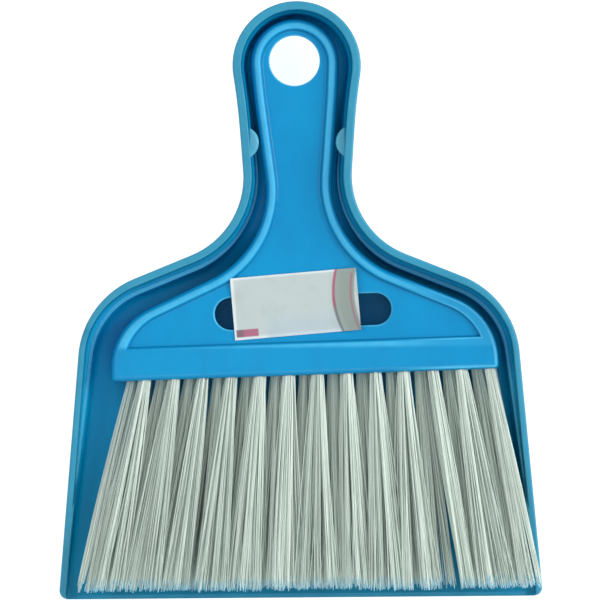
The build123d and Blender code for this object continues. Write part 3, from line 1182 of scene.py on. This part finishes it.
@dataclass
class Mouldings:
    """The two blue mouldings and the hidden anchors, which keep their CAD shapes.

    Attributes:
        finishes: The finish of each CAD node.
    """

    finishes: dict[str, Finish] = field(default_factory=lambda: {
        "dustpan": PanPlastic(), "broom_handle": BroomPlastic(), "anchors": DrawnSteel(),
    })

    def dress(self) -> None:
        """Give each CAD node that shows its finish."""
        for node, finish in self.finishes.items():
            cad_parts[node].material_slots[0].material = finish.material()


@dataclass(frozen=True)
class SoftBox:
    """A square lamp that faces the object.

    Attributes:
        name: Its name.
        place: Where it hangs, in metres.
        size: Its side, in metres.
        power: Its power, in watts.
    """

    name: str
    place: Triple
    size: float
    power: float

    def hang(self) -> None:
        """Hang it in the scene."""
        data = bpy.data.lights.new(self.name, "AREA")
        data.size = self.size
        data.energy = self.power
        lamp = bpy.data.objects.new(self.name, data)
        lamp.location = self.place
        lamp.rotation_euler = (-Vector(self.place)).to_track_quat("-Z", "Y").to_euler()
        bpy.context.scene.collection.objects.link(lamp)


@dataclass
class Studio:
    """Camera, floor and soft light, as over a table seen from straight above.

    Attributes:
        covered: How much of the object the frame takes in, in metres.
        focus_height: The height at which it takes that in, in metres.
        distance: How far the camera is from there, in metres.
        nearest: The nearest that the camera sees, in metres.
        centre: The point under the camera, in metres.
        turn: The camera's turn about its line of sight, in degrees.
        floor_size: The floor's side, in metres.
        floor_drop: How far the floor lies under the pan, in metres.
        lamps: The soft boxes.
        sky: The sky's colour.
        sky_heights: The heights on a sphere of 1 between which its strength changes.
        horizon: Its strength low down.
        zenith: Its strength overhead, kept dim because glossy flats mirror it.
    """

    covered: float = 250.7 * MM
    focus_height: float = 22 * MM
    distance: float = 2.6
    nearest: float = 0.1
    centre: Span = (0.6 * MM, 0.3 * MM)
    turn: float = -0.46
    floor_size: float = 8.0
    floor_drop: float = 0.05 * MM
    lamps: tuple[SoftBox, ...] = (
        SoftBox("window_right", (1.5, 0.35, 0.95), 0.9, 21),
        SoftBox("window_left", (-1.1, 0.4, 1.2), 0.9, 5),
        SoftBox("window_front", (0.2, -1.2, 1.3), 0.8, 4),
    )
    sky: Colour = (0.93, 0.97, 1)
    sky_heights: Span = (0.5, 0.95)
    horizon: float = 0.6
    zenith: float = 0.52

    def camera(self) -> None:
        """Set the camera."""
        data = bpy.data.cameras.new("camera")
        data.lens = data.sensor_width * self.distance / self.covered
        data.clip_start = self.nearest
        camera = bpy.data.objects.new("camera", data)
        camera.location = (*self.centre, self.focus_height + self.distance)
        camera.rotation_euler = (0, 0, math.radians(self.turn))
        bpy.context.scene.collection.objects.link(camera)
        bpy.context.scene.camera = camera

    def floor(self) -> None:
        """Lay the floor under the pan."""
        deselect()
        bpy.ops.mesh.primitive_plane_add(size=self.floor_size, location=(0, 0, -self.floor_drop))
        floor = bpy.context.object
        floor.name = "floor"
        bpy.ops.object.transform_apply(location=True, rotation=False, scale=True)
        dress(floor, PaleFloor().material())
        floor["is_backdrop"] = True

    def light(self) -> None:
        """Light the object from all round, and leave the middle of the sky dim."""
        for lamp in self.lamps:
            lamp.hang()
        world = bpy.data.worlds.new("studio")
        world.use_nodes = True
        bench = Bench(world.node_tree)
        height = bench.split(bench.add("ShaderNodeTexCoord", output="Generated"))[2]
        strength = bench.add("ShaderNodeMapRange", {}, {
            "Value": height,
            "From Min": self.sky_heights[0],
            "From Max": self.sky_heights[1],
            "To Min": self.horizon,
            "To Max": self.zenith,
        })
        sky = bench.add("ShaderNodeBackground", {}, {"Color": self.sky, "Strength": strength})
        bench.node("ShaderNodeOutputWorld", {}, {"Surface": sky})
        bpy.context.scene.world = world
        bpy.context.scene.view_settings.view_transform = "Standard"


def main() -> None:
    """Dress the broom and its pan, and set the studio up."""
    logging.basicConfig(level=logging.INFO)
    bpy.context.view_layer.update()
    studio = Studio()
    studio.camera()
    Mouldings().dress()
    log.info("dressed the pan, the broom and the anchors")
    pieces = Brush().build()
    log.info("gathered %d tufts", len(pieces))
    piece = Label().build()
    log.info("laid %s", piece.name)
    studio.floor()
    studio.light()
    log.info("set up the studio")


if __name__ == "__main__":
    main()
